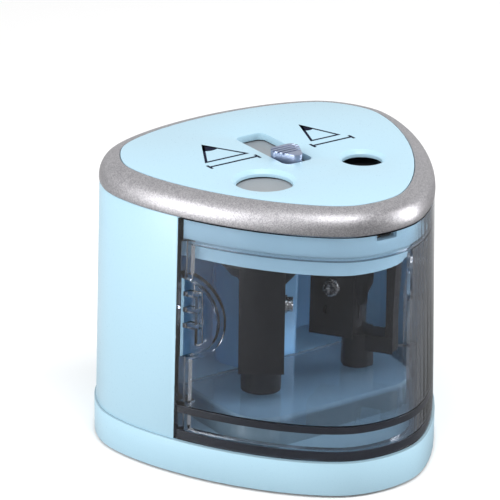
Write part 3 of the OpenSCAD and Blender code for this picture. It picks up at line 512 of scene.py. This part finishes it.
CAD_LOOKS = {
    "base": ["base"],
    "blue": ["bottom_plate", "rear_shell", "gear_housing", "top_plate", "battery_door"],
    "inner": ["inner_frame"],
    "silver": ["bezel_ring"],
    "knob": ["selector_knob"],
    "clear": ["drawer"],
    "black": ["guide_bush_large", "guide_bush_small", "cutter_holder_large", "cutter_holder_small",
              "start_switches"],
    "grey": ["gear_cover", "selector_shutter", "battery_box"],
    "white": ["motor_end_cap", "compound_gear", "cutter_gear_large", "cutter_gear_small",
              "start_plunger_large", "start_plunger_small"],
    "steel": ["blade_large", "blade_small", "motor_can", "motor_shaft", "compound_axle"],
    "screw": ["bottom_screws", "housing_screws", "cover_screws", "motor_screws", "blade_screw_large",
              "blade_screw_small", "blade_washer_large", "blade_washer_small", "battery_springs",
              "battery_plates"],
    "brass": ["motor_bearing", "motor_terminals", "motor_pinion", "drawer_contacts"],
    "rubber": ["rubber_feet"],
    "board": ["circuit_board"],
}
SOFT_EDGES = {"base": 0.5, "bottom_plate": 0.2, "rear_shell": 0.3, "gear_housing": 0.4, "inner_frame": 0.5,
              "top_plate": 0.2, "battery_door": 0.25, "selector_knob": 0.25, "drawer": 0.3,
              "cutter_holder_large": 0.3, "cutter_holder_small": 0.3, "guide_bush_large": 0.2,
              "guide_bush_small": 0.2, "blade_screw_large": 0.15, "blade_screw_small": 0.15}


def dress_cad():
    for look, names in CAD_LOOKS.items():
        for name in names:
            ob = soften(name, SOFT_EDGES.get(name, 0))
            ob.data.materials.clear()
            ob.data.materials.append(mats[look])


def make_ring():
    """Silver ring: a quarter-round over a short straight lip, its two ends rounded."""
    top = high("bezel_ring")
    rise = top - RING_Z - RING_LIP
    foot, rim = RING_FOOT_R, RING_EDGE_R
    profile = arc(RING_GAP + foot, RING_Z + foot, foot, foot, 180, 270, 4)
    profile += arc(RING_GAP + OUT_TOP - rim, RING_Z + rim, rim, rim, -90, 0, 4)
    profile += arc(RING_GAP, RING_Z + RING_LIP, OUT_TOP, rise, 0, 86, 22)
    profile += [(RING_GAP + 0.12, top - 0.04), (RING_GAP, top - 0.25)]
    ring = sweep("ring", profile, 288, smooth_angle=60)
    ring.data.materials.append(mats["silver"])
    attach(ring, "housing")
    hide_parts("bezel_ring")


def prism(name, outline, holes, z0, z1):
    """Flat-topped solid from a closed outline and closed holes, all lists of (x, y)."""
    bm = bmesh.new()
    loops = []
    for ring in [outline] + holes:
        verts = [bm.verts.new((x * MM, y * MM, z1 * MM)) for x, y in ring]
        loops += [bm.edges.new((verts[i], verts[(i + 1) % len(verts)])) for i in range(len(verts))]
    bmesh.ops.triangle_fill(bm, edges=loops, use_beauty=True)
    made = bmesh.ops.extrude_face_region(bm, geom=list(bm.faces))
    down = [v for v in made["geom"] if isinstance(v, bmesh.types.BMVert)]
    bmesh.ops.translate(bm, verts=down, vec=(0, 0, (z0 - z1) * MM))
    bmesh.ops.recalc_face_normals(bm, faces=bm.faces)
    me = bpy.data.meshes.new(name)
    bm.to_mesh(me)
    bm.free()
    ob = bpy.data.objects.new(name, me)
    bpy.context.scene.collection.objects.link(ob)
    return ob


def inset(points, amount):
    """Moves each side of a convex, counterclockwise polygon inwards."""
    out = []
    n = len(points)
    for i in range(n):
        p, q, r = Vector(points[i - 1]), Vector(points[i]), Vector(points[(i + 1) % n])
        a, b = (q - p).normalized(), (r - q).normalized()
        na, nb = Vector((-a.y, a.x)), Vector((-b.y, b.x))
        out.append(tuple(q + (na + nb) * (amount / (1 + na.dot(nb)))))
    return out


def join_into(first, others):
    bm = bmesh.new()
    for ob in [first] + others:
        bm.from_mesh(ob.data)
        if ob is not first:
            bpy.data.objects.remove(ob)
    bm.to_mesh(first.data)
    bm.free()


def rectangle(x, y, half_x, half_y):
    return [(x + i * half_x, y + j * half_y) for i, j in ((-1, -1), (1, -1), (1, 1), (-1, 1))]


def make_marks():
    """Printed signs beside the holes: a triangle with a filled point, as a pencil tip, and a width mark."""
    z0, z1 = PLATE_Z - SIGN_SUNK, PLATE_Z + SIGN_RISE
    for name, apex, base_y, half, mark_y, mark_half in SIGNS:
        x = apex[0]
        corners = [(x - half, base_y), (x + half, base_y), apex]
        sign = prism(name, corners, [inset(corners, SIGN_LINE)], z0, z1)
        y = apex[1] + (base_y - apex[1]) * TIP_SHARE
        across = [1 - 2 * i / TIP_POINTS for i in range(TIP_POINTS + 1)]
        sag = [(x + half * TIP_SHARE * a, y - TIP_SAG * (1 - a ** 2)) for a in across]
        parts = [prism(name + "_tip", [apex] + sag[::-1], [], z0, z1),
                 prism(name + "_bar", rectangle(x, mark_y, mark_half, BAR_HALF), [], z0, z1)]
        for side in (-1, 1):
            tick = rectangle(x + side * mark_half, mark_y, BAR_HALF, TICK_HALF)
            parts.append(prism(name + "_tick", tick, [], z0, z1 - 0.005))
        join_into(sign, parts)
        sign.data.materials.append(mats["ink"])
        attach(sign, "housing")


def cone_tool(x, y, z0, r0, z1, r1, count=96):
    verts, faces = [], []
    turns = [2 * math.pi * i / count for i in range(count)]
    for z, r in ((z0, r0), (z1, r1)):
        verts += [(x + r * math.cos(t), y + r * math.sin(t), z) for t in turns]
    faces.append(list(range(count))[::-1])
    faces.append([count + i for i in range(count)])
    faces += [(i, (i + 1) % count, count + (i + 1) % count, count + i) for i in range(count)]
    return new_object("tool", verts, faces)


def bake(ob):
    """Applies an object's modifiers to its mesh."""
    graph = bpy.context.evaluated_depsgraph_get()
    me = bpy.data.meshes.new_from_object(ob.evaluated_get(graph))
    ob.modifiers.clear()
    ob.data = me


def copy_of(node):
    """A free copy of a CAD node's mesh, welded."""
    ob = bpy.data.objects.new(node + "_detail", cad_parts[node].data.copy())
    ob.data.materials.clear()
    bpy.context.scene.collection.objects.link(ob)
    add_modifier(ob, "WELD", merge_threshold=1e-6)
    bake(ob)
    return ob


def cut(ob, tool):
    add_modifier(ob, "BOOLEAN", operation="DIFFERENCE", object=tool, solver="EXACT")
    bake(ob)
    bpy.data.objects.remove(tool)


def make_plate():
    """Top plate with the wide chamfers of its two pencil holes."""
    plate = copy_of("top_plate")
    for x, r in ((-HOLE_X, HOLE_R_LARGE), (HOLE_X, HOLE_R_SMALL)):
        cut(plate, cone_tool(x, HOLE_Y, PLATE_Z - HOLE_CHAMFER_DEPTH, r - 0.02, PLATE_Z + 0.4,
                             r + HOLE_CHAMFER_R))
    add_modifier(plate, "BEVEL", width=0.22 * MM, segments=3, limit_method="ANGLE",
                 angle_limit=math.radians(40))
    bake(plate)
    smooth(plate, 50)
    plate.data.materials.append(mats["blue"])
    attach(plate, "housing")
    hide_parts("top_plate")


def make_housing_band():
    """Smooth sleeve on the gear housing's rim, close behind the drawer's wall, with the contact window."""
    z0, z1 = RING_Z - SLEEVE_H, RING_Z - 0.05
    out = OUT_TOP - WALL - 0.1
    back = out - SLEEVE_T
    profile = [(back, z0), (out - 0.2, z0), (out, z0 + 0.2), (out, z1), (back, z1)]
    band = sweep("housing_band", profile, 288, lambda d: (-math.pi - seam_t(d), seam_t(d)))
    cut(band, box_tool((-WINDOW_HALF_W, -60, RING_Z - WINDOW_LOW),
                       (WINDOW_HALF_W, -30, RING_Z - WINDOW_HIGH)))
    smooth(band, 50)
    band.data.materials.append(mats["blue"])
    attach(band, "housing")


def seam_t(d):
    """Direction of the sleeve's right-hand end, which lies just behind the drawer's rear edge."""
    return t_where_y(SEAM_Y + 0.4, d)


def box_tool(a, b):
    corners = [(x, y, z) for x in (a[0], b[0]) for y in (a[1], b[1]) for z in (a[2], b[2])]
    sides = [(0, 1, 3, 2), (4, 6, 7, 5), (0, 4, 5, 1), (2, 3, 7, 6), (0, 2, 6, 4), (1, 5, 7, 3)]
    return new_object("tool", corners, sides)


def seam_span(d):
    """End directions of a band that stops short of the drawer's rear edges."""
    t = t_where_y(SEAM_Y - 0.6, d)
    return -math.pi - t, t


def make_drawer_painted_shade():
    """Painted shade: opaque dark bands inside the wall's thickness, standing in for the darkness that the
    clear drawer shows at the edges of its floor and foot.
    """
    for name, bottom, top in DRAWER_PAINTED_SHADE_BANDS:
        z0, z1 = DRAWER_Z + bottom, DRAWER_Z + top
        profile = [(lean(z0) - BAND_IN, z0), (lean(z0) - BAND_OUT, z0), (lean(z1) - BAND_OUT, z1),
                   (lean(z1) - BAND_IN, z1)]
        band = sweep(name, profile, 192, seam_span)
        band.data.materials.append(mats["painted_shade_band"])
        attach(band, "drawer")


mats = make_materials()
make_camera()
make_stage()
dress_cad()
make_ring()
make_plate()
make_marks()
make_drawer_painted_shade()
make_housing_band()
